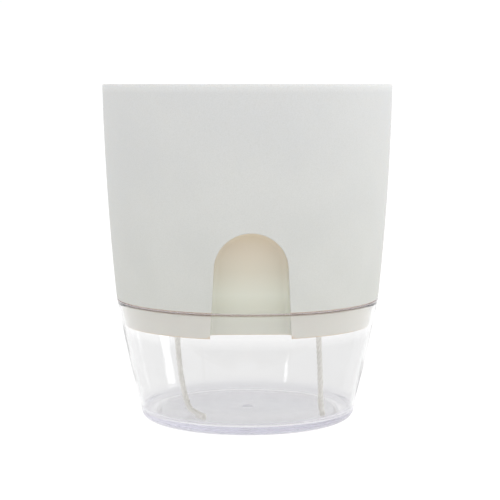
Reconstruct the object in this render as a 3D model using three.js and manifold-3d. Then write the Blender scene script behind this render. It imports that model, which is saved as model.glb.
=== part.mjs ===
// Self-watering planter: a planting pot that drops into the collar of a clear
// water reservoir, with two cotton wicks hanging from the pot's floor.
// Millimetres, +Z up. The origin is on the ground, on the axis of the planter,
// and the filling recess faces -Y.
import * as THREE from "three";
import { mergeVertices } from "three/addons/utils/BufferGeometryUtils.js";
import Module from "manifold-3d";

const wasm = await Module();
wasm.setup();

// ---- driving dimensions ----
const HEIGHT = 174; // ground to the pot's rim
const RIM_RADIUS = 75;
const SEAM_RADIUS = 68.4; // both pieces, where they meet
const RESERVOIR_HEIGHT = 63; // ground to the top of the collar
const BASE_RADIUS = 56; // where the reservoir's wall turns into its corner

const POT_WALL = 2;
const POT_BULGE = 1.15; // how far the pot's side bows out from a straight taper
const RIM_ROUND = 0.95;
const SKIRT_DEPTH = 13.3; // how far the pot hangs inside the collar
const SKIRT_CLEARANCE = 0.4;
const SEAT_GAP = 0.3; // pot's shoulder above the collar's edge
const SHOULDER_ROUND = 0.7;
const SKIRT_EDGE = 1.2; // skirt below the underside of the pot's floor
const POT_FLOOR = 2.3;
const FLOOR_FILLET = 4;

const RESERVOIR_WALL = 1.8;
const RESERVOIR_BULGE = 0.5;
const RESERVOIR_FLOOR = 2.2;
const FOOT_HEIGHT = 2.3; // floor's underside above the ground
const FOOT_WIDTH = 3.6;
const CORNER_RADIUS = 5;
const GATE_RADIUS = 3; // moulding gate's mark on the floor
const GATE_RISE = 0.6;

const RECESS_WIDTH = 38.4; // filling recess, at the seam
const RECESS_TOP = 102.6; // crown of its arch above the ground
const RECESS_SPRING = 18; // crown to where the straight sides begin
const RECESS_DEPTH = 11; // collar's bore to the recess's back, at the seam
const RECESS_LEAN = 6; // degrees that the back leans out towards its crown
const RECESS_DRAFT = 3; // degrees that each side opens downwards
const RECESS_FILLET = 3;

const SLOT_WIDTH = 3;
const DRAIN_HUB = 9; // axis to the innermost drain slots
const DRAIN_MARGIN = 12.4; // outermost drain slots to the skirt
// Rings of drain slots: how many, how far each starts outside the ring before
// it, its part of the floor that is left for slots, and its first angle.
const DRAIN_RINGS = [
  { count: 6, web: 0, part: 0.44, turn: 30 },
  { count: 12, web: 7, part: 0.24, turn: 15 },
  { count: 16, web: 9, part: 0.32, turn: 11.25 },
];

const WICK_RADIUS = 1.5;
const WICK_HOLE_CLEARANCE = 0.4;
const WICK_HOLE_WALL = 1.6;
const WICK_HOLE_RISE = 1.6; // collar round each wick hole, above the floor

// Wick routes, from the end that lies in the pot to the end in the reservoir.
const WICK_ROUTES = {
  wick_left: [
    [-18.6, 0.8, 55.3], [-13.4, 5.4, 55.3], [-10.4, 11.8, 55.3], [-10.2, 19, 55.3],
    [-13, 25.8, 55.3], [-18.4, 30.8, 55.3], [-25.2, 33, 55.3], [-32, 31.6, 55.3],
    [-37, 27, 55.3], [-39.2, 20.6, 55.8], [-39.4, 15.2, 58], [-39, 11, 61.2],
    [-38.4, 7.8, 63.4], [-37.8, 4.6, 64.2], [-37.3, 1.4, 63.2], [-37, -1.1, 60.6],
    [-37, -2, 57.2], [-37, -2, 54], [-37, -2, 50], [-37, -2, 46],
    [-36.7, -2.3, 38], [-35.9, -3, 29], [-34.7, -4.2, 20.5], [-33.2, -7, 13.2],
    [-31.4, -11.6, 8.4], [-29.5, -17.4, 6.4], [-27.4, -23.6, 6.3], [-25.2, -29.6, 6.3],
    [-22.8, -35.4, 6.3],
  ],
  wick_right: [
    [17.4, 2.4, 55.3], [12.8, 7.4, 55.3], [10.5, 14.2, 55.3], [10.9, 21.4, 55.3],
    [14.1, 28, 55.3], [19.6, 32.6, 55.3], [26.4, 34.2, 55.3], [33.1, 32.3, 55.3],
    [37.7, 27.3, 55.3], [39.6, 20.7, 55.8], [39.8, 15.2, 58], [39.4, 11, 61.2],
    [38.8, 7.8, 63.4], [38.2, 4.6, 64.2], [37.7, 1.4, 63.2], [37.4, -1.1, 60.6],
    [37.4, -2, 57.2], [37.4, -2, 54], [37.4, -2, 50], [37.4, -2, 46],
    [37.6, -2.3, 38], [38, -3.1, 29], [38.2, -4.6, 20.5], [38.2, -7.6, 13.2],
    [38, -12.2, 8.4], [37.8, -17.6, 6.4], [37.6, -22.8, 6.3], [37.3, -27.6, 6.3],
  ],
};

const TURNS = 64; // facets round the axis
const ARCH_FACETS = 12;
const FILLET_FACETS = 3;
const SLOT_FACETS = 3;
const DRUM_FACETS = 16;
const CORD_FACETS = 8;
const CORD_STEPS = 36;
const WELD = 1e-4; // points closer than this are one point
const degrees = THREE.MathUtils.degToRad;

// ---- levels and radii that follow from them ----
const SEAT_LEVEL = RESERVOIR_HEIGHT + SEAT_GAP;
const SKIRT_BOTTOM = SEAT_LEVEL - SKIRT_DEPTH;
const POT_FLOOR_UNDER = SKIRT_BOTTOM + SKIRT_EDGE;
const POT_FLOOR_TOP = POT_FLOOR_UNDER + POT_FLOOR;
const RESERVOIR_FLOOR_TOP = FOOT_HEIGHT + RESERVOIR_FLOOR;
const FOOT_RADIUS = BASE_RADIUS - CORNER_RADIUS;

// Radius at a level on a side that tapers from low to high and bows outwards.
function bowedRadius(low, high, bulge, level) {
  const share = (level - low.y) / (high.y - low.y);
  return low.x + (high.x - low.x) * share + 4 * bulge * share * (1 - share);
}

const potLow = new THREE.Vector2(SEAM_RADIUS, SEAT_LEVEL);
const potHigh = new THREE.Vector2(RIM_RADIUS, HEIGHT);
const potRadius = (level) => bowedRadius(potLow, potHigh, POT_BULGE, level);

const reservoirLow = new THREE.Vector2(BASE_RADIUS, CORNER_RADIUS);
const reservoirHigh = new THREE.Vector2(SEAM_RADIUS, RESERVOIR_HEIGHT);
const reservoirRadius = (level) => bowedRadius(reservoirLow, reservoirHigh, RESERVOIR_BULGE, level);

const boreRadius = (level) => reservoirRadius(level) - RESERVOIR_WALL;
const skirtRadius = (level) => boreRadius(level) - SKIRT_CLEARANCE;
const skirtInside = (level) => skirtRadius(level) - POT_WALL;

// ---- outlines ----
function arc(x, y, radius, from, to, steps) {
  const points = [];
  for (let i = 0; i <= steps; i += 1) {
    const angle = degrees(from + ((to - from) * i) / steps);
    points.push(new THREE.Vector2(x + radius * Math.cos(angle), y + radius * Math.sin(angle)));
  }
  return points;
}

function side(radiusAt, from, to, steps) {
  const points = [];
  for (let i = 0; i <= steps; i += 1) {
    const level = from + ((to - from) * i) / steps;
    points.push(new THREE.Vector2(radiusAt(level), level));
  }
  return points;
}

const onAxis = (level) => new THREE.Vector2(0, level);

// ---- solids ----
// Turns an outline of radius and height about the Z axis.
function revolve(outline) {
  return new THREE.LatheGeometry(outline, TURNS).rotateX(Math.PI / 2);
}

function toSolid(geometry) {
  const bare = geometry.clone();
  bare.deleteAttribute("normal");
  bare.deleteAttribute("uv");
  const merged = mergeVertices(bare, WELD);
  const mesh = new wasm.Mesh({
    numProp: 3,
    vertProperties: new Float32Array(merged.attributes.position.array),
    triVerts: new Uint32Array(merged.index.array),
  });
  return new wasm.Manifold(mesh);
}

function toGeometry(solid) {
  const mesh = solid.getMesh();
  const geometry = new THREE.BufferGeometry();
  geometry.setAttribute("position", new THREE.BufferAttribute(mesh.vertProperties, 3));
  geometry.setIndex(new THREE.BufferAttribute(mesh.triVerts, 1));
  geometry.computeVertexNormals();
  return geometry;
}

// ---- planting pot ----
// The pot as a plug: side, shoulder that rests on the collar, and skirt.
function potOutside() {
  const shoulderInner = skirtRadius(SEAT_LEVEL);
  return toSolid(revolve([
    onAxis(POT_FLOOR_UNDER),
    new THREE.Vector2(skirtInside(SKIRT_BOTTOM), POT_FLOOR_UNDER),
    new THREE.Vector2(skirtInside(SKIRT_BOTTOM), SKIRT_BOTTOM),
    new THREE.Vector2(skirtRadius(SKIRT_BOTTOM), SKIRT_BOTTOM),
    new THREE.Vector2(shoulderInner, SEAT_LEVEL),
    ...arc(SEAM_RADIUS - SHOULDER_ROUND, SEAT_LEVEL + SHOULDER_ROUND, SHOULDER_ROUND, -90, -15, 3),
    ...side(potRadius, SEAT_LEVEL + 2 * SHOULDER_ROUND, HEIGHT - RIM_ROUND, 9),
    ...arc(RIM_RADIUS - RIM_ROUND, HEIGHT - RIM_ROUND, RIM_ROUND, 30, 90, 2),
    onAxis(HEIGHT),
  ]));
}

// The hollow for the soil, with a rounded step where the wall meets the skirt.
function potInside() {
  const wallFoot = SEAT_LEVEL + POT_WALL;
  const filletX = skirtInside(POT_FLOOR_TOP) - FLOOR_FILLET;
  const lip = RIM_RADIUS - POT_WALL + RIM_ROUND / 2;
  const above = HEIGHT + POT_WALL;
  return toSolid(revolve([
    onAxis(POT_FLOOR_TOP),
    ...arc(filletX, POT_FLOOR_TOP + FLOOR_FILLET, FLOOR_FILLET, -90, 0, 4),
    new THREE.Vector2(skirtInside(SEAT_LEVEL), SEAT_LEVEL),
    ...side((level) => potRadius(level) - POT_WALL, wallFoot, HEIGHT - RIM_ROUND, 9),
    new THREE.Vector2(lip, HEIGHT),
    new THREE.Vector2(lip, above),
    onAxis(above),
  ]));
}

// Arch-shaped tool that presses the filling recess into the pot. The pot's
// hollow is kept one wall away by the same tool, grown by that wall.
function recessTool(grow) {
  const spring = RECESS_TOP - RECESS_SPRING;
  const bottom = SKIRT_BOTTOM - RECESS_DEPTH; // open below the skirt
  const draft = Math.tan(degrees(RECESS_DRAFT));
  const seamWidth = RECESS_WIDTH / 2 + grow;
  const springWidth = seamWidth - (spring - RESERVOIR_HEIGHT) * draft;
  const bottomWidth = seamWidth + (RESERVOIR_HEIGHT - bottom) * draft;
  const arch = new THREE.Shape();
  arch.moveTo(-bottomWidth, bottom);
  arch.lineTo(bottomWidth, bottom);
  arch.lineTo(springWidth, spring);
  arch.absellipse(0, spring, springWidth, RECESS_SPRING + grow, 0, Math.PI, false);
  arch.closePath();
  const back = boreRadius(RESERVOIR_HEIGHT) - RECESS_DEPTH - grow;
  const fillet = RECESS_FILLET + grow;
  const tool = new THREE.ExtrudeGeometry(arch, {
    depth: RIM_RADIUS - back + RECESS_DEPTH,
    curveSegments: ARCH_FACETS,
    bevelThickness: fillet,
    bevelSize: fillet,
    bevelOffset: -fillet,
    bevelSegments: FILLET_FACETS,
  });
  // The outline stands up in XZ with its filleted end towards the axis. The
  // shear leans that end outwards about the level of the seam.
  tool.translate(0, -RESERVOIR_HEIGHT, fillet);
  tool.rotateX(Math.PI / 2);
  tool.applyMatrix4(new THREE.Matrix4().makeShear(0, 0, 0, 0, 0, -Math.tan(degrees(RECESS_LEAN))));
  tool.translate(0, -back, RESERVOIR_HEIGHT);
  return toSolid(tool);
}

// A slot with round ends that points away from the axis.
function drainSlot(inner, outer, angle) {
  const half = SLOT_WIDTH / 2;
  const outline = new THREE.Shape();
  outline.absarc(outer - half, 0, half, -Math.PI / 2, Math.PI / 2, false);
  outline.absarc(inner + half, 0, half, Math.PI / 2, (3 * Math.PI) / 2, false);
  const slot = new THREE.ExtrudeGeometry(outline, {
    depth: 3 * POT_FLOOR,
    curveSegments: SLOT_FACETS,
    bevelEnabled: false,
  });
  return toSolid(slot.rotateZ(angle).translate(0, 0, POT_FLOOR_UNDER - POT_FLOOR));
}

// Slots stay clear of the wick holes and of the wall behind the recess.
function drainSlots() {
  const slots = [];
  const holes = Object.values(WICK_ROUTES).map(wickHole);
  const clearOfHole = WICK_RADIUS + WICK_HOLE_CLEARANCE + WICK_HOLE_WALL + SLOT_WIDTH;
  const recessBack = boreRadius(RESERVOIR_HEIGHT) - RECESS_DEPTH - 2 * POT_WALL
    - (RESERVOIR_HEIGHT - SKIRT_BOTTOM) * Math.tan(degrees(RECESS_LEAN));
  const webs = DRAIN_RINGS.reduce((sum, ring) => sum + ring.web, 0);
  const room = skirtInside(POT_FLOOR_TOP) - DRAIN_MARGIN - DRAIN_HUB - webs;
  let outer = DRAIN_HUB;
  for (const ring of DRAIN_RINGS) {
    const inner = outer + ring.web;
    outer = inner + room * ring.part;
    for (let i = 0; i < ring.count; i += 1) {
      const angle = degrees(ring.turn + (360 * i) / ring.count);
      const away = new THREE.Vector2(Math.cos(angle), Math.sin(angle));
      const nearHole = holes.some((hole) => {
        const along = THREE.MathUtils.clamp(hole.dot(away), inner, outer);
        return hole.distanceTo(away.clone().multiplyScalar(along)) < clearOfHole;
      });
      const inRecess = -away.y * outer > recessBack;
      if (!nearHole && !inRecess) slots.push(drainSlot(inner, outer, angle));
    }
  }
  return slots;
}

// Where a route comes straight down, it passes through the pot's floor.
function wickHole(route) {
  const plumb = route.find(([x, y], i) => i > 0 && x === route[i - 1][0] && y === route[i - 1][1]);
  return new THREE.Vector2(plumb[0], plumb[1]);
}

function upright(radius, bottom, top, at) {
  const drum = new THREE.CylinderGeometry(radius, radius, top - bottom, DRUM_FACETS);
  return toSolid(drum.rotateX(Math.PI / 2).translate(at.x, at.y, (top + bottom) / 2));
}

function plantingPot() {
  const holeRadius = WICK_RADIUS + WICK_HOLE_CLEARANCE;
  const hollow = potInside().subtract(recessTool(POT_WALL));
  let pot = potOutside().subtract(recessTool(0)).subtract(hollow);
  for (const slot of drainSlots()) pot = pot.subtract(slot);
  for (const route of Object.values(WICK_ROUTES)) {
    const at = wickHole(route);
    pot = pot.add(upright(holeRadius + WICK_HOLE_WALL, POT_FLOOR_UNDER, POT_FLOOR_TOP + WICK_HOLE_RISE, at));
    pot = pot.subtract(upright(holeRadius, SKIRT_BOTTOM, POT_FLOOR_TOP + 2 * WICK_HOLE_RISE, at));
  }
  return toGeometry(pot);
}

// ---- water reservoir ----
function reservoir() {
  const edge = RESERVOIR_WALL / 2;
  const insideCorner = CORNER_RADIUS - edge;
  const insideFoot = boreRadius(RESERVOIR_FLOOR_TOP + insideCorner) - insideCorner;
  return revolve([
    onAxis(FOOT_HEIGHT + GATE_RISE),
    new THREE.Vector2(GATE_RADIUS / 2, FOOT_HEIGHT + GATE_RISE),
    new THREE.Vector2(GATE_RADIUS, FOOT_HEIGHT),
    new THREE.Vector2(FOOT_RADIUS - FOOT_WIDTH - FOOT_HEIGHT / 2, FOOT_HEIGHT),
    new THREE.Vector2(FOOT_RADIUS - FOOT_WIDTH, 0),
    ...arc(FOOT_RADIUS, CORNER_RADIUS, CORNER_RADIUS, -90, -10, 5),
    ...side(reservoirRadius, CORNER_RADIUS, RESERVOIR_HEIGHT - edge, 8),
    ...arc(boreRadius(RESERVOIR_HEIGHT) + edge, RESERVOIR_HEIGHT - edge, edge, 45, 135, 2),
    ...side(boreRadius, RESERVOIR_HEIGHT - edge, RESERVOIR_FLOOR_TOP + insideCorner, 8),
    ...arc(insideFoot, RESERVOIR_FLOOR_TOP + insideCorner, insideCorner, -15, -90, 4),
    new THREE.Vector2(GATE_RADIUS, RESERVOIR_FLOOR_TOP),
    new THREE.Vector2(GATE_RADIUS / 2, RESERVOIR_FLOOR_TOP + GATE_RISE),
    onAxis(RESERVOIR_FLOOR_TOP + GATE_RISE),
  ]);
}

// ---- wicks ----
function wick(route) {
  const path = new THREE.CatmullRomCurve3(route.map((point) => new THREE.Vector3(...point)));
  const section = new THREE.Shape(arc(0, 0, WICK_RADIUS, 0, 360 - 360 / CORD_FACETS, CORD_FACETS - 1));
  return new THREE.ExtrudeGeometry(section, { steps: CORD_STEPS, extrudePath: path });
}

// ---- assembly ----
function piece(name, geometry, color, roughness, extra = {}) {
  const material = new THREE.MeshStandardMaterial({ color, roughness, metalness: 0, ...extra });
  const mesh = new THREE.Mesh(geometry, material);
  mesh.name = name;
  return mesh;
}

const planter = new THREE.Group();
planter.add(piece("reservoir", reservoir(), 0xe9eaf0, 0.06, { transparent: true, opacity: 0.35 }));
planter.add(piece("planting_pot", plantingPot(), 0xe6e6e1, 0.5));
for (const [name, route] of Object.entries(WICK_ROUTES)) {
  planter.add(piece(name, wick(route), 0xe4e1d8, 0.95));
}

export default planter;
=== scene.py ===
import math
import random

import bmesh
import bpy
from mathutils import Matrix, Vector


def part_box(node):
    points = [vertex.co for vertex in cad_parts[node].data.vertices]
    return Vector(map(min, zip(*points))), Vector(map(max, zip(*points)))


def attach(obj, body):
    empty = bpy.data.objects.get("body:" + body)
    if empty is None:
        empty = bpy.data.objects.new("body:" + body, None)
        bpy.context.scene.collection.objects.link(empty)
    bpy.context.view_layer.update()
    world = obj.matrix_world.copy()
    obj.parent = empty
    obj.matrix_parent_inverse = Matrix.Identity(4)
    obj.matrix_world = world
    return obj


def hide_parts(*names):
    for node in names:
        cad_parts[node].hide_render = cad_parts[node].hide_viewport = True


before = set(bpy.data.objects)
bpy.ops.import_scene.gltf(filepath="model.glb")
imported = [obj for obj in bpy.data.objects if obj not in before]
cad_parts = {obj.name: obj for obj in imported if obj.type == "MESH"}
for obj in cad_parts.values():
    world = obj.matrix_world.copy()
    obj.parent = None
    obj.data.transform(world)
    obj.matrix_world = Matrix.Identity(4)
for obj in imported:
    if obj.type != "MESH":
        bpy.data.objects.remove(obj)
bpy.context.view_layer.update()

MM = 0.001

# ---- sizes: the outside from the frame, walls and small forms as the maker cuts them ----
POT_LOW, POT_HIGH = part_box("planting_pot")
TANK_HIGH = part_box("reservoir")[1]

HEIGHT = POT_HIGH.z
RIM_RADIUS = POT_HIGH.x
SKIRT_BOTTOM = POT_LOW.z
COLLAR_TOP = TANK_HIGH.z
SEAM_RADIUS = 68.4 * MM
BASE_RADIUS = 56 * MM

POT_WALL = 2 * MM
POT_BULGE = 1.15 * MM
RIM_ROUND = 0.95 * MM
SKIRT_CLEARANCE = 0.25 * MM
SEAT_GAP = 0.15 * MM
SHOULDER_ROUND = 0.5 * MM
SEAT_CHAMFER = 0.4 * MM  # between the skirt and the seat
STEP_CHAMFER = 0.5 * MM  # on the step inside the pot, behind the shoulder
SKIRT_EDGE = 1.2 * MM    # how far the floor's underside lies above the skirt's bottom
SKIRT_ROUND = 0.5 * MM
EDGE_SHADE = 0.5 * MM    # how far the painted shade reaches up from the skirt's bottom edge
POT_FLOOR = 2.3 * MM
FLOOR_FILLET = 4 * MM

TANK_WALL = 1.8 * MM
COLLAR_WALL = 1.3 * MM   # the wall thins towards the collar's edge
TANK_BULGE = 0.5 * MM
TANK_FLOOR = 2.2 * MM
FOOT_HEIGHT = 2.3 * MM
FOOT_WIDTH = 3.6 * MM
FOOT_ROUND = 0.5 * MM
FOOT_RECESS_ROUND = 1 * MM
CORNER_RADIUS = 5 * MM
GATE_RADIUS = 3 * MM
GATE_RISE = 0.6 * MM

RECESS_WIDTH = 38.4 * MM
RECESS_TOP = 102.6 * MM
RECESS_SPRING = 18 * MM
RECESS_DEPTH = 11 * MM
RECESS_LEAN = math.radians(6)
RECESS_DRAFT = math.radians(3)
RECESS_FILLET = 3 * MM
RECESS_LIP = 0.7 * MM
RECESS_FLARE = math.radians(15)  # where the lip's round begins
BULGE_LIP = 1.6 * MM     # the lip of the matching bulge inside the pot

SLOT_WIDTH = 3 * MM
SLOT_CHAMFER = 0.35 * MM
# Rings of slots: how many, from and to which radius, and the turn in degrees.
DRAIN_RINGS = (
    (6, 9 * MM, 20 * MM, 30), (12, 27 * MM, 33 * MM, 15), (16, 42 * MM, 50 * MM, 11.25),
)

WICK_RADIUS = 1.5 * MM
WICK_HOLE_RADIUS = 1.9 * MM
WICK_HOLE_WALL = 1.6 * MM
WICK_HOLE_RISE = 1.6 * MM
WICK_HOLE_ROUND = 0.4 * MM

SEAT_LEVEL = COLLAR_TOP + SEAT_GAP
POT_FLOOR_UNDER = SKIRT_BOTTOM + SKIRT_EDGE
POT_FLOOR_TOP = POT_FLOOR_UNDER + POT_FLOOR
TANK_FLOOR_TOP = FOOT_HEIGHT + TANK_FLOOR
FOOT_RADIUS = BASE_RADIUS - CORNER_RADIUS
TURNS = 256
TOOL_REACH = 2 * MM      # how far a cutting tool reaches past what it cuts
MERGE = 2e-6             # points nearer than this are one

# Wick routes in millimetres, the same points as in the part's source.
WICK_ROUTES = {
    "wick_left": (
        (-18.6, 0.8, 55.3), (-13.4, 5.4, 55.3), (-10.4, 11.8, 55.3), (-10.2, 19, 55.3),
        (-13, 25.8, 55.3), (-18.4, 30.8, 55.3), (-25.2, 33, 55.3), (-32, 31.6, 55.3),
        (-37, 27, 55.3), (-39.2, 20.6, 55.8), (-39.4, 15.2, 58), (-39, 11, 61.2),
        (-38.4, 7.8, 63.4), (-37.8, 4.6, 64.2), (-37.3, 1.4, 63.2), (-37, -1.1, 60.6),
        (-37, -2, 57.2), (-37, -2, 54), (-37, -2, 50), (-37, -2, 46),
        (-36.7, -2.3, 38), (-35.9, -3, 29), (-34.7, -4.2, 20.5), (-33.2, -7, 13.2),
        (-31.4, -11.6, 8.4), (-29.5, -17.4, 6.4), (-27.4, -23.6, 6.3), (-25.2, -29.6, 6.3),
        (-22.8, -35.4, 6.3),
    ),
    "wick_right": (
        (17.4, 2.4, 55.3), (12.8, 7.4, 55.3), (10.5, 14.2, 55.3), (10.9, 21.4, 55.3),
        (14.1, 28, 55.3), (19.6, 32.6, 55.3), (26.4, 34.2, 55.3), (33.1, 32.3, 55.3),
        (37.7, 27.3, 55.3), (39.6, 20.7, 55.8), (39.8, 15.2, 58), (39.4, 11, 61.2),
        (38.8, 7.8, 63.4), (38.2, 4.6, 64.2), (37.7, 1.4, 63.2), (37.4, -1.1, 60.6),
        (37.4, -2, 57.2), (37.4, -2, 54), (37.4, -2, 50), (37.4, -2, 46),
        (37.6, -2.3, 38), (38, -3.1, 29), (38.2, -4.6, 20.5), (38.2, -7.6, 13.2),
        (38, -12.2, 8.4), (37.8, -17.6, 6.4), (37.6, -22.8, 6.3), (37.3, -27.6, 6.3),
    ),
}
WICK_HOLES = {"wick_left": (-37 * MM, -2 * MM), "wick_right": (37.4 * MM, -2 * MM)}


# ---- side lines shared by both mouldings ----
def bowed(low, high, bulge, level):
    """Radius at a level on a side that tapers from low to high and bows outwards."""
    share = (level - low[1]) / (high[1] - low[1])
    return low[0] + (high[0] - low[0]) * share + 4 * bulge * share * (1 - share)


def pot_radius(level):
    return bowed((SEAM_RADIUS, SEAT_LEVEL), (RIM_RADIUS, HEIGHT), POT_BULGE, level)


def pot_inside(level):
    return pot_radius(level) - POT_WALL


def tank_radius(level):
    return bowed((BASE_RADIUS, CORNER_RADIUS), (SEAM_RADIUS, COLLAR_TOP), TANK_BULGE, level)


def bore_radius(level):
    share = max(0.0, level - CORNER_RADIUS) / (COLLAR_TOP - CORNER_RADIUS)
    return tank_radius(level) - TANK_WALL - (COLLAR_WALL - TANK_WALL) * share


def skirt_radius(level):
    return bore_radius(level) - SKIRT_CLEARANCE


def skirt_inside(level):
    return skirt_radius(level) - POT_WALL


def arc(x, z, radius, start, end, steps):
    """Points of a round stretch, in degrees from the outward direction."""
    angles = [math.radians(start + (end - start) * i / steps) for i in range(steps + 1)]
    return [(x + radius * math.cos(a), z + radius * math.sin(a)) for a in angles]


def side(radius_at, start, end, steps):
    levels = [start + (end - start) * i / steps for i in range(steps + 1)]
    return [(radius_at(level), level) for level in levels]


# ---- mesh tools ----
def revolve(outline):
    """A closed solid turned about the Z axis from an outline of (radius, level)."""
    bm = bmesh.new()
    points = [bm.verts.new((radius, 0, level)) for radius, level in outline]
    edges = [bm.edges.new(pair) for pair in zip(points, points[1:])]
    bmesh.ops.spin(bm, geom=points + edges, cent=(0, 0, 0), axis=(0, 0, 1),
                   angle=2 * math.pi, steps=TURNS, use_merge=True, use_duplicate=False)
    bmesh.ops.remove_doubles(bm, verts=bm.verts, dist=MERGE / 2)
    bmesh.ops.recalc_face_normals(bm, faces=bm.faces)
    return bm


def closed_ring(bm, places):
    """A closed loop of edges through the given places."""
    ring = [bm.verts.new(place) for place in places]
    for here, after in zip(ring, ring[1:] + ring[:1]):
        bm.edges.new((here, after))
    return ring


def extend(bm, ring, places):
    """Extrudes a closed loop once and moves the new loop to the given places."""
    edges = [bm.edges.get((here, after)) for here, after in zip(ring, ring[1:] + ring[:1])]
    made = bmesh.ops.extrude_edge_only(bm, edges=edges)["geom"]
    fresh = {vert for vert in made if isinstance(vert, bmesh.types.BMVert)}
    after = []
    for vert, place in zip(ring, places):
        twin = next(e.other_vert(vert) for e in vert.link_edges if e.other_vert(vert) in fresh)
        twin.co = place
        after.append(twin)
    return after


def loft(bm, loops):
    """A closed solid through a row of loops with the same number of places."""
    ring = closed_ring(bm, loops[0])
    bm.faces.new(ring)
    for places in loops[1:]:
        ring = extend(bm, ring, places)
    bm.faces.new(ring)


def in_order(bm):
    """Sorts edges and faces by their points: extrusion leaves them in another order
    each run, and the cuts that follow would differ with it."""
    count = len(bm.verts)
    bm.verts.index_update()
    for parts in (bm.edges, bm.faces):
        parts.sort(key=lambda part: count * min(vert.index for vert in part.verts)
                   + max(vert.index for vert in part.verts))


def as_object(name, bm, smooth_below=28):
    """Closes a bmesh into a smooth-shaded object whose sharp edges stay crisp."""
    bmesh.ops.recalc_face_normals(bm, faces=bm.faces)
    in_order(bm)
    mesh = bpy.data.meshes.new(name)
    bm.to_mesh(mesh)
    bm.free()
    finish_shading(mesh, smooth_below)
    obj = bpy.data.objects.new(name, mesh)
    bpy.context.scene.collection.objects.link(obj)
    return obj


def finish_shading(mesh, smooth_below=28):
    mesh.polygons.foreach_set("use_smooth", [True] * len(mesh.polygons))
    mesh.set_sharp_from_angle(angle=math.radians(smooth_below))


def combine(body, tool, operation):
    """Joins a tool to a body, or cuts it out, and removes the tool."""
    step = body.modifiers.new("combine", "BOOLEAN")
    step.operation = operation
    step.solver = "EXACT"
    step.object = tool
    graph = bpy.context.evaluated_depsgraph_get()
    mesh = bpy.data.meshes.new_from_object(body.evaluated_get(graph))
    body.modifiers.clear()
    body.data = mesh
    bpy.data.objects.remove(tool)


# ---- planting pot ----
def pot_plug():
    """The pot's outside as a solid: side, shoulder and skirt."""
    round_level = SKIRT_BOTTOM + SKIRT_ROUND
    return as_object("pot_plug", revolve([
        (0, POT_FLOOR_UNDER),
        (skirt_inside(SKIRT_BOTTOM), POT_FLOOR_UNDER),
        *arc(skirt_inside(SKIRT_BOTTOM) + SKIRT_ROUND, round_level, SKIRT_ROUND, 180, 270, 4),
        *arc(skirt_radius(SKIRT_BOTTOM) - SKIRT_ROUND, round_level, SKIRT_ROUND, -90, -10, 4),
        *side(skirt_radius, SKIRT_BOTTOM + 2 * SKIRT_ROUND, SEAT_LEVEL - SEAT_CHAMFER, 8),
        (skirt_radius(SEAT_LEVEL) + SEAT_CHAMFER / 4, SEAT_LEVEL),
        *arc(SEAM_RADIUS - SHOULDER_ROUND, SEAT_LEVEL + SHOULDER_ROUND, SHOULDER_ROUND, -90, -5, 6),
        *side(pot_radius, SEAT_LEVEL + 2 * SHOULDER_ROUND, HEIGHT - 2 * RIM_ROUND, 56),
        *arc(RIM_RADIUS - RIM_ROUND, HEIGHT - RIM_ROUND, RIM_ROUND, 5, 90, 6),
        (0, HEIGHT),
    ]))


def pot_hollow():
    """The room for the soil, with a stepped foot and a rounded lip."""
    lip = RIM_RADIUS - POT_WALL
    fillet_x = skirt_inside(POT_FLOOR_TOP) - FLOOR_FILLET
    wall_foot = SEAT_LEVEL + POT_WALL
    above = HEIGHT + 2.5 * TOOL_REACH
    return as_object("pot_hollow", revolve([
        (0, POT_FLOOR_TOP),
        *arc(fillet_x, POT_FLOOR_TOP + FLOOR_FILLET, FLOOR_FILLET, -90, 0, 8),
        *side(skirt_inside, POT_FLOOR_TOP + FLOOR_FILLET + STEP_CHAMFER,
              SEAT_LEVEL - 1.2 * STEP_CHAMFER, 4),
        (skirt_inside(SEAT_LEVEL) + STEP_CHAMFER, SEAT_LEVEL + 0.2 * STEP_CHAMFER),
        (pot_inside(wall_foot) - STEP_CHAMFER, wall_foot - 0.8 * STEP_CHAMFER),
        *side(pot_inside, wall_foot + 0.8 * STEP_CHAMFER, HEIGHT - 2.2 * STEP_CHAMFER, 50),
        *arc(lip + RIM_ROUND, HEIGHT - RIM_ROUND, RIM_ROUND, 175, 105, 5),
        (lip + RIM_ROUND, above),
        (0, above),
    ]))


def arch(grow, bottom):
    """The recess's outline: up the right side, over the crown and down the left."""
    spring = RECESS_TOP - RECESS_SPRING
    half = RECESS_WIDTH / 2 - (spring - COLLAR_TOP) * math.tan(RECESS_DRAFT)
    sides, crown = 16, 56
    right = []
    for i in range(sides):
        level = bottom + (spring - bottom) * i / sides
        right.append((half + (spring - level) * math.tan(RECESS_DRAFT) + grow, level))
    over = []
    for i in range(crown + 1):
        angle = math.pi * i / crown
        over.append(((half + grow) * math.cos(angle),
                     spring + (RECESS_SPRING + grow) * math.sin(angle)))
    left = [(-x, level) for x, level in reversed(right)]
    return right + over + left


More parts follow.
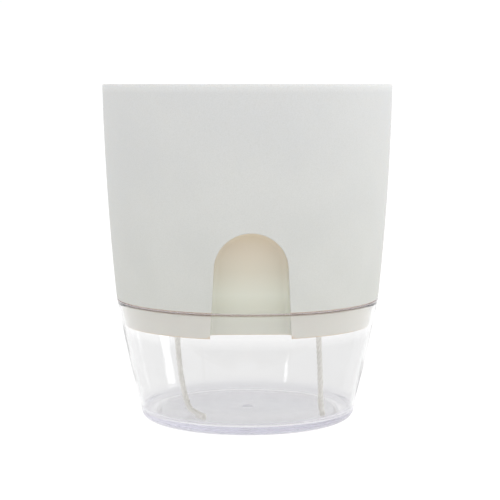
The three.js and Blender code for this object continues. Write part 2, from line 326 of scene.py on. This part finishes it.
def recess_tool(name, wall, surface, lip):
    """The arch-shaped tool of the filling recess, flared by a rounded lip where it
    meets the surface, with a rounded edge at its back. wall grows it all round."""
    bottom = SKIRT_BOTTOM - 6 * TOOL_REACH
    before_the_pot = -1.3 * RIM_RADIUS
    lip_steps, fillet_steps = 5, 7
    back_at_seam = bore_radius(COLLAR_TOP) - RECESS_DEPTH - wall
    fillet = RECESS_FILLET + wall

    def back(level):
        return -back_at_seam - (level - COLLAR_TOP) * math.tan(RECESS_LEAN)

    def skin(x, level):
        radius = surface(max(level, SEAT_LEVEL))
        return -math.sqrt(radius * radius - x * x)

    far = arch(wall + lip * (1 - math.sin(RECESS_FLARE)), bottom)
    loops = [[(x, before_the_pot, level) for x, level in far]]
    for i in range(lip_steps + 1):
        turn = RECESS_FLARE + (math.pi / 2 - RECESS_FLARE) * i / lip_steps
        outline = arch(wall + lip * (1 - math.sin(turn)), bottom)
        depth = lip * (1 - math.cos(turn))
        loops.append([(x, skin(x, level) + depth, level) for x, level in outline])
    for i in range(fillet_steps + 1):
        turn = math.pi / 2 * i / fillet_steps
        outline = arch(wall - fillet * (1 - math.cos(turn)), bottom)
        depth = fillet * (1 - math.sin(turn))
        loops.append([(x, back(level) - depth, level) for x, level in outline])
    bm = bmesh.new()
    loft(bm, loops)
    return as_object(name, bm)


def stadium(inner, outer, half):
    """A slot's outline with round ends, lying along X."""
    ends = []
    for centre, start in ((outer - half, -90), (inner + half, 90)):
        ends += arc(centre, 0, half, start, start + 180, 10)
    return ends


def drain_tool():
    """Every drain slot in one tool, with a chamfer at the top of the floor."""
    bm = bmesh.new()
    clear = WICK_HOLE_RADIUS + WICK_HOLE_WALL + SLOT_WIDTH
    back_at_skirt = (bore_radius(COLLAR_TOP) - RECESS_DEPTH - 2 * POT_WALL
                     - (COLLAR_TOP - SKIRT_BOTTOM) * math.tan(RECESS_LEAN))
    levels = ((-TOOL_REACH, 0), (POT_FLOOR - SLOT_CHAMFER, 0),
              (POT_FLOOR + TOOL_REACH, SLOT_CHAMFER + TOOL_REACH))
    for count, inner, outer, turn in DRAIN_RINGS:
        for i in range(count):
            angle = math.radians(turn + 360 * i / count)
            away = Vector((math.cos(angle), math.sin(angle)))
            near = any(gap_to_slot(Vector(hole), away, inner, outer) < clear
                       for hole in WICK_HOLES.values())
            if near or -away.y * outer > back_at_skirt:
                continue
            turned = Matrix.Rotation(angle, 4, "Z")
            loft(bm, [[turned @ Vector((x, y, POT_FLOOR_UNDER + rise))
                       for x, y in stadium(inner - grow, outer + grow, SLOT_WIDTH / 2 + grow)]
                      for rise, grow in levels])
    return as_object("drain_tool", bm)


def gap_to_slot(hole, away, inner, outer):
    """How far a hole's middle is from the middle line of a slot."""
    along = min(max(hole.dot(away), inner), outer)
    return (hole - away * along).length


def drum(name, outline, place):
    """A turned tool that stands at a place on the floor."""
    bm = revolve(outline)
    bmesh.ops.translate(bm, verts=bm.verts, vec=(place[0], place[1], 0))
    return as_object(name, bm)


def wick_collar(place):
    radius, top = WICK_HOLE_RADIUS + WICK_HOLE_WALL, POT_FLOOR_TOP + WICK_HOLE_RISE
    low = POT_FLOOR_UNDER + TOOL_REACH / 10
    return drum("wick_collar", [
        (0, low), (radius, low), (radius, POT_FLOOR_TOP),
        *arc(radius - WICK_HOLE_ROUND, top - WICK_HOLE_ROUND, WICK_HOLE_ROUND, 0, 90, 4),
        (0, top),
    ], place)


def wick_bore(place):
    radius, top = WICK_HOLE_RADIUS, POT_FLOOR_TOP + WICK_HOLE_RISE
    return drum("wick_bore", [
        (0, SKIRT_BOTTOM), (radius, SKIRT_BOTTOM), (radius, top - WICK_HOLE_ROUND),
        (radius + 2 * WICK_HOLE_ROUND, top + WICK_HOLE_ROUND), (0, top + WICK_HOLE_ROUND),
    ], place)


def in_filling_recess(x, y, level):
    """Whether a point is on the recess's own side of the middle of its wall."""
    spring = RECESS_TOP - RECESS_SPRING
    middle = POT_WALL / 2
    half = RECESS_WIDTH / 2 - (spring - COLLAR_TOP) * math.tan(RECESS_DRAFT) + middle
    back_at_seam = bore_radius(COLLAR_TOP) - RECESS_DEPTH
    if -y < back_at_seam + (level - COLLAR_TOP) * math.tan(RECESS_LEAN) - middle:
        return False
    if level < spring:
        return abs(x) < half + (spring - level) * math.tan(RECESS_DRAFT)
    return (x / half) ** 2 + ((level - spring) / (RECESS_SPRING + middle)) ** 2 < 1


def mark_zones(mesh):
    """Writes values on each point: how deep it lies in the filling recess, how high up
    it is, whether it is on the skirt or the floor's underside, where light is painted,
    and whether it is by the seam or a bottom edge, where shade is painted."""
    on_face, behind_shoulder = 0.6 * MM, 2.5 * MM
    zones = {"recess": [], "height": [], "skirt": [], "edge": []}
    for vert in mesh.vertices:
        x, y, level = vert.co
        above_seat = level > SEAT_LEVEL + 0.05 * MM
        outside = pot_radius(level) if above_seat else skirt_radius(level)
        inset = outside - math.hypot(x, y)
        inside = in_filling_recess(x, y, level)
        depth = min(1.0, max(0.0, inset / (2 * RECESS_LIP) - 0.2))
        under = level < POT_FLOOR_UNDER + 0.1 * MM
        # The seam and the bottom edges get painted shade; the skirt and the floor's underside get
        # painted light.
        shoulder = abs(level - SEAT_LEVEL) < 0.3 * MM and -behind_shoulder < inset < on_face
        bottom = level < SKIRT_BOTTOM + 0.9 * EDGE_SHADE or inside and under
        zones["recess"].append(depth if inside else 0.0)
        zones["height"].append((level - SKIRT_BOTTOM) / (RECESS_TOP - SKIRT_BOTTOM))
        zones["skirt"].append(float(under or not above_seat and abs(inset) < on_face))
        zones["edge"].append(float(shoulder or bottom))
    for name, values in zones.items():
        mesh.attributes.new(name, "FLOAT", "POINT").data.foreach_set("value", values)


def planting_pot():
    """The pot: its outside, less the recess and the hollow, which leaves the recess's
    bulge standing, and then the floor's slots and wick holes."""
    hollow = pot_hollow()
    combine(hollow, recess_tool("bulge_tool", POT_WALL, pot_inside, BULGE_LIP), "DIFFERENCE")
    pot = pot_plug()
    pot.name = "planting_pot_shell"
    combine(pot, recess_tool("recess_tool", 0, pot_radius, RECESS_LIP), "DIFFERENCE")
    combine(pot, hollow, "DIFFERENCE")
    combine(pot, drain_tool(), "DIFFERENCE")
    for place in WICK_HOLES.values():
        combine(pot, wick_collar(place), "UNION")
        combine(pot, wick_bore(place), "DIFFERENCE")
    bm = bmesh.new()
    bm.from_mesh(pot.data)
    bmesh.ops.remove_doubles(bm, verts=bm.verts, dist=MERGE)
    bmesh.ops.dissolve_degenerate(bm, edges=bm.edges, dist=MERGE)
    # A row of points just above each bottom edge keeps the painted shade down there.
    for level in (SKIRT_BOTTOM + EDGE_SHADE, POT_FLOOR_UNDER + EDGE_SHADE):
        bmesh.ops.bisect_plane(bm, geom=bm.verts[:] + bm.edges[:] + bm.faces[:],
                               plane_co=(0, 0, level), plane_no=(0, 0, 1))
    in_order(bm)
    bm.to_mesh(pot.data)
    bm.free()
    finish_shading(pot.data)
    mark_zones(pot.data)
    return pot


# ---- water reservoir ----
def reservoir():
    """The reservoir's section, turned: gate mark, foot, outside, collar's edge, inside."""
    edge = COLLAR_WALL / 2
    inside_corner = CORNER_RADIUS - TANK_WALL / 2
    inside_foot = bore_radius(TANK_FLOOR_TOP + inside_corner) - inside_corner
    ring_inner = FOOT_RADIUS - FOOT_WIDTH
    gate_low, gate_high = FOOT_HEIGHT + GATE_RISE, TANK_FLOOR_TOP + GATE_RISE
    return as_object("reservoir_shell", revolve([
        (0, gate_low), (GATE_RADIUS * 0.55, gate_low),
        (GATE_RADIUS * 0.8, gate_low - GATE_RISE / 3), (GATE_RADIUS, FOOT_HEIGHT),
        (GATE_RADIUS * 1.12, FOOT_HEIGHT), (GATE_RADIUS * 3, FOOT_HEIGHT),
        *arc(ring_inner - FOOT_HEIGHT, FOOT_HEIGHT - FOOT_RECESS_ROUND, FOOT_RECESS_ROUND,
             90, 20, 4),
        *arc(ring_inner + FOOT_ROUND, FOOT_ROUND, FOOT_ROUND, 200, 270, 3),
        *arc(FOOT_RADIUS, CORNER_RADIUS, CORNER_RADIUS, -90, -12, 14),
        *side(tank_radius, CORNER_RADIUS, COLLAR_TOP - edge, 40),
        *arc(bore_radius(COLLAR_TOP) + edge, COLLAR_TOP - edge, edge, 15, 165, 10),
        *side(bore_radius, COLLAR_TOP - edge, TANK_FLOOR_TOP + inside_corner, 36),
        *arc(inside_foot, TANK_FLOOR_TOP + inside_corner, inside_corner, -13, -90, 10),
        (GATE_RADIUS * 3, TANK_FLOOR_TOP), (GATE_RADIUS * 1.12, TANK_FLOOR_TOP),
        (GATE_RADIUS, TANK_FLOOR_TOP), (GATE_RADIUS * 0.8, gate_high - GATE_RISE / 3),
        (GATE_RADIUS * 0.6, gate_high), (GATE_RADIUS * 0.3, gate_high - GATE_RISE / 2),
        (0, gate_high - GATE_RISE / 2),
    ]), smooth_below=40)


# ---- cotton wicks ----
STRANDS = 3
ROPE_LAY = 8.5 * MM      # one full turn of a strand
SECTION_POINTS = 24
RING_STEP = 0.42 * MM
CURVE_STEPS = 24         # fine steps between two points of a route
SIDE_HAIRS, SIDE_HAIR = 170, 0.035 * MM   # how many, and half their thickness
END_HAIRS, END_HAIR = 60, 0.06 * MM


def smooth_route(points, step):
    """Even steps along a centripetal Catmull-Rom curve through the points."""
    places = [Vector(point) * MM for point in points]
    places = [2 * places[0] - places[1], *places, 2 * places[-1] - places[-2]]
    fine = []
    for p0, p1, p2, p3 in zip(places, places[1:], places[2:], places[3:]):
        t0 = 0.0
        t1 = t0 + math.sqrt((p1 - p0).length)
        t2 = t1 + math.sqrt((p2 - p1).length)
        t3 = t2 + math.sqrt((p3 - p2).length)
        for i in range(CURVE_STEPS):
            t = t1 + (t2 - t1) * i / CURVE_STEPS
            a1 = p0.lerp(p1, (t - t0) / (t1 - t0))
            a2 = p1.lerp(p2, (t - t1) / (t2 - t1))
            a3 = p2.lerp(p3, (t - t2) / (t3 - t2))
            b1 = a1.lerp(a2, (t - t0) / (t2 - t0))
            b2 = a2.lerp(a3, (t - t1) / (t3 - t1))
            fine.append(b1.lerp(b2, (t - t1) / (t2 - t1)))
    fine.append(places[-2])
    return even_steps(fine, step)


def even_steps(fine, step):
    """Places along a fine path, all about a step apart."""
    lengths = [0.0]
    for here, after in zip(fine, fine[1:]):
        lengths.append(lengths[-1] + (after - here).length)
    count = round(lengths[-1] / step)
    even, at = [], 0
    for i in range(count + 1):
        want = lengths[-1] * i / count
        while at < len(fine) - 2 and lengths[at + 1] < want:
            at += 1
        share = (want - lengths[at]) / (lengths[at + 1] - lengths[at])
        even.append(fine[at].lerp(fine[at + 1], share))
    return even


def carried_frames(path):
    """Tangent, normal and binormal at each step, turned no more than the path turns."""
    frames = []
    tangent = (path[1] - path[0]).normalized()
    normal = tangent.orthogonal().normalized()
    for i in range(len(path)):
        before, after = path[max(i - 1, 0)], path[min(i + 1, len(path) - 1)]
        ahead = (after - before).normalized()
        normal.rotate(tangent.rotation_difference(ahead))
        normal = (normal - ahead * normal.dot(ahead)).normalized()
        tangent = ahead
        frames.append((tangent, normal.copy(), tangent.cross(normal)))
    return frames


def strand_section():
    """The round-lobed section of a laid cord, as (x, y) in the cord's own turn."""
    section = []
    for i in range(SECTION_POINTS):
        angle = 2 * math.pi * i / SECTION_POINTS
        lobe = abs(math.cos(STRANDS * angle / 2)) ** 0.75
        radius = WICK_RADIUS * (0.7 + 0.3 * lobe)
        section.append((radius * math.cos(angle), radius * math.sin(angle)))
    return section


def hair(bm, root, lean, length, thickness, curl):
    """One loose cotton fibre: a thin three-sided spike that droops and curls."""
    across = lean.orthogonal().normalized()
    over = lean.cross(across)
    loops = []
    steps = 4
    for i in range(steps + 1):
        share = i / steps
        centre = root + lean * (length * share) + curl * (share * share)
        radius = thickness * (1 - 0.85 * share)
        loops.append([centre + (across * math.cos(a) + over * math.sin(a)) * radius
                      for a in (0, 2 * math.pi / 3, 4 * math.pi / 3)])
    loft(bm, loops)


def wick(name, points, rng):
    """A laid cord along its route, with loose hairs on its side and frayed ends."""
    path = smooth_route(points, RING_STEP)
    frames = carried_frames(path)
    section = strand_section()
    bm = bmesh.new()
    loops = []
    for i, (place, (tangent, normal, binormal)) in enumerate(zip(path, frames)):
        along = i * RING_STEP
        turn = 2 * math.pi * along / ROPE_LAY
        swell = 1 + 0.035 * math.sin(along / (5.3 * MM)) + 0.02 * math.sin(along / (1.9 * MM) + 1)
        end = min(i, len(path) - 1 - i)
        swell *= 1 + 0.1 * math.exp(-end / 3) - (0.35 if end == 0 else 0)
        loops.append([place + (normal * (x * math.cos(turn) - y * math.sin(turn))
                               + binormal * (x * math.sin(turn) + y * math.cos(turn))) * swell
                      for x, y in section])
    loft(bm, loops)
    fibre = bm.verts.layers.float_vector.new("fibre")
    bm.verts.ensure_lookup_table()
    for i, vert in enumerate(bm.verts):
        ring, spot = divmod(i, SECTION_POINTS)
        x, y = section[spot]
        vert[fibre] = (x, y, ring * RING_STEP)
    rope = len(bm.verts)
    for _ in range(SIDE_HAIRS):
        at = rng.randrange(4, len(path) - 4)
        tangent, normal, binormal = frames[at]
        angle = rng.uniform(0, 2 * math.pi)
        out = normal * math.cos(angle) + binormal * math.sin(angle)
        lean = (out * 0.5 + tangent * rng.choice((-1, 1)) * rng.uniform(0.4, 1)).normalized()
        root = path[at] + out * WICK_RADIUS * 0.8
        length = rng.uniform(0.8, 1.9) * MM
        hair(bm, root, lean, length, SIDE_HAIR, -out * rng.uniform(0.1, 0.5) * MM)
    droop = Vector((0, 0, -0.25 * MM))
    for at, heading in ((0, -1), (len(path) - 1, 1)):
        tangent, normal, binormal = frames[at]
        for _ in range(END_HAIRS):
            angle, reach = rng.uniform(0, 2 * math.pi), math.sqrt(rng.random())
            out = normal * math.cos(angle) + binormal * math.sin(angle)
            root = path[at] + out * WICK_RADIUS * 0.8 * reach - tangent * heading * 0.3 * MM
            lean = (tangent * heading + out * rng.uniform(0, 0.5) * reach).normalized()
            hair(bm, root, lean, rng.uniform(0.8, 2.1) * MM, END_HAIR, droop)
    bm.verts.ensure_lookup_table()
    for vert in list(bm.verts)[rope:]:
        vert[fibre] = (vert.co.x, vert.co.y, vert.co.z)
    return as_object(name, bm, smooth_below=70), path


# ---- materials ----
def linear(code):
    """A colour's sRGB hex code as the linear numbers that shaders take."""
    channels = [int(code[i:i + 2], 16) / 255 for i in (1, 3, 5)]
    spread = [c / 12.92 if c <= 0.04045 else ((c + 0.055) / 1.055) ** 2.4 for c in channels]
    return (*spread, 1)


def new_material(name):
    material = bpy.data.materials.new(name)
    material.use_nodes = True
    material.node_tree.nodes.clear()
    return material, material.node_tree


def node(tree, kind, settings=None):
    """Adds a node. Each setting is a property of the node, a ramp's stops as (place,
    sRGB hex code), or an input by its name or number, which takes a value or the
    output that is linked to it."""
    made = tree.nodes.new(kind)
    for key, setting in (settings or {}).items():
        if isinstance(setting, bpy.types.NodeSocket):
            tree.links.new(setting, made.inputs[key])
        elif key == "stops":
            marks = made.color_ramp.elements
            while len(marks) < len(setting):
                marks.new(0.5)
            for mark, (place, code) in zip(marks, setting):
                mark.position, mark.color = place, linear(code)
        elif isinstance(key, str) and hasattr(made, key):
            setattr(made, key, setting)
        else:
            made.inputs[key].default_value = setting
    return made


def moulded_polypropylene():
    """White polypropylene, injection moulded in a fine spark-eroded tool: satin, a
    little milky, with a grain finer than a millimetre, and with painted light and shade
    that warm the recess, lighten the wall towards the rim and darken the seam and edges."""
    material, tree = new_material("moulded_polypropylene_white")
    place = node(tree, "ShaderNodeTexCoord").outputs["Object"]
    zones = {name: node(tree, "ShaderNodeAttribute", {"attribute_name": name}).outputs["Fac"]
             for name in ("recess", "height", "skirt", "edge")}
    # The real grain is about 0.15 mm; it is drawn at 0.6 mm so that it shows.
    grain = node(tree, "ShaderNodeTexNoise", {
        "Vector": place, "Scale": 1 / (0.6 * MM), "Detail": 3.0, "Roughness": 0.6}).outputs["Fac"]
    # Slow drifts in tone and gloss from the flow of the melt, some 30 mm across.
    flow = node(tree, "ShaderNodeTexNoise", {
        "Vector": place, "Scale": 1 / (30 * MM), "Detail": 2.0}).outputs["Fac"]
    # Painted light: the wall is lighter towards the rim, where light also comes from inside.
    tall = node(tree, "ShaderNodeMapRange", {
        "Value": zones["height"], "From Min": 0.25,
        "From Max": (HEIGHT - SKIRT_BOTTOM) / (RECESS_TOP - SKIRT_BOTTOM)}).outputs["Result"]
    tone = node(tree, "ShaderNodeValToRGB", {
        "Fac": tall, "stops": ((0, "#c3c4bf"), (0.5, "#c8c9c7"), (0.96, "#cbcccc"),
                               (1, "#dadbdb"))}).outputs["Color"]
    drift = node(tree, "ShaderNodeMapRange", {
        "Value": flow, "From Min": 0.35, "From Max": 0.65, "To Max": 0.25}).outputs["Result"]
    speckle = node(tree, "ShaderNodeMapRange", {
        "Value": grain, "From Min": 0.4, "From Max": 0.75, "To Max": 0.3}).outputs["Result"]
    # Painted light and shade in the recess: lifted above its shade, and warmer towards its crown,
    # where light has crossed the wall several times.
    warm = node(tree, "ShaderNodeValToRGB", {
        "Fac": zones["height"],
        "stops": ((0.12, "#c5c5bb"), (0.3, "#cccdc0"), (0.4, "#d1d2c6"), (0.62, "#ccc7b8"),
                  (0.85, "#d0c6b5"), (1, "#d8ccb6"))}).outputs["Color"]
    # Painted light on the skirt and the floor's underside makes up for light lost through the clear
    # collar, in a warmer tone; painted shade darkens the seam and the bottom edges to a warm brown.
    for factor, over in ((drift, linear("#d3d3cf")), (speckle, linear("#b4b5b0")),
                         (zones["skirt"], linear("#c6c4bd")), (zones["recess"], warm),
                         (zones["edge"], linear("#c9b7a2"))):
        tone = node(tree, "ShaderNodeMix", {
            "data_type": "RGBA", "Factor": factor, 6: tone, 7: over}).outputs[2]
    gloss = node(tree, "ShaderNodeMapRange", {
        "Value": flow, "From Min": 0.3, "From Max": 0.7,
        "To Min": 0.44, "To Max": 0.52}).outputs["Result"]
    bump = node(tree, "ShaderNodeBump", {
        "Height": grain, "Strength": 0.12, "Distance": 0.08 * MM}).outputs["Normal"]
    shader = node(tree, "ShaderNodeBsdfPrincipled", {
        "Base Color": tone, "Roughness": gloss, "Normal": bump, "IOR": 1.49,
        "Specular IOR Level": 0.25, "Subsurface Weight": 0.12,
        "Subsurface Radius": (1.0, 0.8, 0.6), "Subsurface Scale": 3 * MM})
    node(tree, "ShaderNodeOutputMaterial", {"Surface": shader.outputs["BSDF"]})
    return material


def clear_polystyrene():
    """Crystal polystyrene, moulded in a polished tool: clear as glass, with a slow
    waviness, hairline handling marks and a lavender tint through its thick edges."""
    material, tree = new_material("crystal_polystyrene_clear")
    place = node(tree, "ShaderNodeTexCoord").outputs["Object"]
    wave = node(tree, "ShaderNodeTexNoise", {
        "Vector": place, "Scale": 1 / (14 * MM), "Detail": 1.0}).outputs["Fac"]
    # Hairlines from handling: real ones are 0.02 mm wide. They are drawn from cells
    # 1.2 mm wide and 10 mm high, so that they show.
    stretch = node(tree, "ShaderNodeMapping", {"Vector": place, "Scale": (1, 1, 0.12)})
    marks = node(tree, "ShaderNodeTexNoise", {
        "Vector": stretch.outputs["Vector"], "Scale": 1 / (1.2 * MM), "Detail": 2.0})
    rough = node(tree, "ShaderNodeMapRange", {
        "Value": marks.outputs["Fac"], "From Min": 0.62, "From Max": 0.8,
        "To Min": 0.025, "To Max": 0.11}).outputs["Result"]
    # The floor's tool face is only fine-stoned, so the floor is a little hazy.
    level = node(tree, "ShaderNodeSeparateXYZ", {"Vector": place}).outputs["Z"]
    haze = node(tree, "ShaderNodeMapRange", {
        "Value": level, "From Min": TANK_FLOOR_TOP, "From Max": 2 * TANK_FLOOR_TOP,
        "To Min": 0.16, "To Max": 0.0}).outputs["Result"]
    roughness = node(tree, "ShaderNodeMath", {"operation": "ADD", 0: rough, 1: haze})
    bump = node(tree, "ShaderNodeBump", {"Height": wave, "Strength": 0.25, "Distance": 0.25 * MM})
    share = node(tree, "ShaderNodeMath", {"operation": "DIVIDE", 0: level, 1: COLLAR_TOP})
    # The wall's tint is a little darker from the floor up to the skirt, and painted
    #     # shade darkens the collar's edge to brown where the pot's shoulder sits on it.
    wall_tint_and_seam_shade = node(tree, "ShaderNodeValToRGB", {
        "Fac": share.outputs["Value"],
        "stops": ((0.06, "#e4e4e7"), (0.16, "#efefef"), (0.7, "#efefef"), (0.8, "#ffffff"),
                  (0.975, "#ffffff"), (0.99, "#b9a89c"))})
    shader = node(tree, "ShaderNodeBsdfPrincipled", {
        "Base Color": wall_tint_and_seam_shade.outputs["Color"], "Roughness": roughness.outputs["Value"],
        "Normal": bump.outputs["Normal"], "Transmission Weight": 1.0, "IOR": 1.5})
    tint = node(tree, "ShaderNodeVolumeAbsorption", {"Color": linear("#897fd4"), "Density": 2.2})
    node(tree, "ShaderNodeOutputMaterial", {
        "Surface": shader.outputs["BSDF"], "Volume": tint.outputs["Volume"]})
    return material


def laid_cotton():
    """Undyed cotton yarn, three strands laid into a soft cord: matt, off-white, with
    fine fibres that run along each strand and catch the light at its edges."""
    material, tree = new_material("laid_cotton_undyed")
    fibre = node(tree, "ShaderNodeAttribute", {"attribute_name": "fibre"})
    # Yarns of about 0.3 mm run along the strand, so the pattern is drawn out along it.
    drawn = node(tree, "ShaderNodeMapping", {
        "Vector": fibre.outputs["Vector"], "Scale": (1, 1, 0.12)})
    yarn = node(tree, "ShaderNodeTexNoise", {
        "Vector": drawn.outputs["Vector"], "Scale": 1 / (0.3 * MM), "Detail": 3.0,
        "Roughness": 0.65}).outputs["Fac"]
    tone = node(tree, "ShaderNodeValToRGB", {
        "Fac": yarn, "stops": ((0.25, "#e2e0da"), (0.5, "#f3f1ec"), (0.8, "#fbf9f5"))})
    bump = node(tree, "ShaderNodeBump", {"Height": yarn, "Strength": 0.6, "Distance": 0.12 * MM})
    rough = node(tree, "ShaderNodeMapRange", {"Value": yarn, "To Min": 0.82, "To Max": 0.98})
    shader = node(tree, "ShaderNodeBsdfPrincipled", {
        "Base Color": tone.outputs["Color"], "Roughness": rough.outputs["Result"],
        "Normal": bump.outputs["Normal"], "Sheen Weight": 0.5, "Sheen Roughness": 0.5})
    node(tree, "ShaderNodeOutputMaterial", {"Surface": shader.outputs["BSDF"]})
    return material


def studio_paper():
    """Uncoated white background paper, lit so strongly that it shows no texture: its
    glow stands for the light that washes it out."""
    material, tree = new_material("white_background_paper")
    shader = node(tree, "ShaderNodeBsdfPrincipled", {
        "Base Color": linear("#606060"), "Roughness": 0.9,
        "Emission Color": linear("#ffffff"), "Emission Strength": 0.92})
    node(tree, "ShaderNodeOutputMaterial", {"Surface": shader.outputs["BSDF"]})
    return material


# ---- camera, floor and light ----
CAMERA_DISTANCE = 0.8435
CAMERA_TURN = math.radians(-1.55)
CAMERA_PITCH = math.radians(5.858)
CAMERA_AIM = math.radians(-0.09)
FOCAL_LENGTH = 116.5     # on a sensor 36 mm wide
SKY_LEAN = (0.22, -0.08, 0)
SKY_LEVEL = 1.13
LIGHT_BOUNCES = 40


def camera():
    lens = bpy.data.cameras.new("camera")
    lens.lens = FOCAL_LENGTH
    lens.sensor_width = 36
    lens.clip_start, lens.clip_end = 0.01, 20
    holder = bpy.data.objects.new("camera", lens)
    bpy.context.scene.collection.objects.link(holder)
    holder.location = (CAMERA_DISTANCE * math.sin(CAMERA_TURN),
                       -CAMERA_DISTANCE * math.cos(CAMERA_TURN), HEIGHT)
    holder.rotation_euler = (math.pi / 2 - CAMERA_PITCH, 0, CAMERA_TURN + CAMERA_AIM)
    bpy.context.scene.camera = holder


def paper_floor(material):
    bm = bmesh.new()
    bmesh.ops.create_grid(bm, x_segments=1, y_segments=1, size=6)
    floor = as_object("paper_floor", bm)
    floor.data.materials.append(material)


def softbox(name, place, target, width, height, power):
    lamp = bpy.data.lights.new(name, "AREA")
    lamp.shape = "RECTANGLE"
    lamp.size, lamp.size_y, lamp.energy = width, height, power
    holder = bpy.data.objects.new(name, lamp)
    bpy.context.scene.collection.objects.link(holder)
    holder.location = place
    holder.rotation_euler = (Vector(target) - Vector(place)).to_track_quat("-Z", "Y").to_euler()


def studio():
    scene = bpy.context.scene
    scene.view_settings.view_transform = "Standard"
    # Light crosses the clear walls many times before it leaves them, and stays sharp.
    paths = scene.cycles
    paths.max_bounces = paths.transmission_bounces = paths.glossy_bounces = LIGHT_BOUNCES
    paths.blur_glossy = 0
    world = bpy.data.worlds.new("white_studio")
    world.use_nodes = True
    tree = world.node_tree
    tree.nodes.clear()
    # White all round: brightest at the right, and a little brighter at the front.
    direction = node(tree, "ShaderNodeTexCoord").outputs["Generated"]
    lean = node(tree, "ShaderNodeVectorMath", {
        "operation": "DOT_PRODUCT", 0: direction, 1: SKY_LEAN}).outputs["Value"]
    level = node(tree, "ShaderNodeMath", {"operation": "ADD", 0: lean, 1: SKY_LEVEL})
    sky = node(tree, "ShaderNodeBackground", {
        "Color": linear("#ffffff"), "Strength": level.outputs["Value"]})
    node(tree, "ShaderNodeOutputWorld", {"Surface": sky.outputs["Background"]})
    scene.world = world
    middle = (0, 0, HEIGHT / 2)
    softbox("softbox_right", (1.0, 0.1, 0.22), middle, 0.2, 0.2, 0.5)
    softbox("softbox_left", (-0.8, -0.75, 0.32), middle, 0.08, 0.3, 0.3)


# ---- assembly ----
def dress(obj, material, body, node_name):
    obj.data.materials.clear()
    obj.data.materials.append(material)
    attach(obj, body)
    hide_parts(node_name)


camera()

cotton = laid_cotton()
rng = random.Random(11)
for node_name, points in WICK_ROUTES.items():
    cord, path = wick(node_name + "_cord", points, rng)
    dress(cord, cotton, "pot", node_name)

dress(reservoir(), clear_polystyrene(), "reservoir", "reservoir")
dress(planting_pot(), moulded_polypropylene(), "pot", "planting_pot")

paper_floor(studio_paper())
studio()
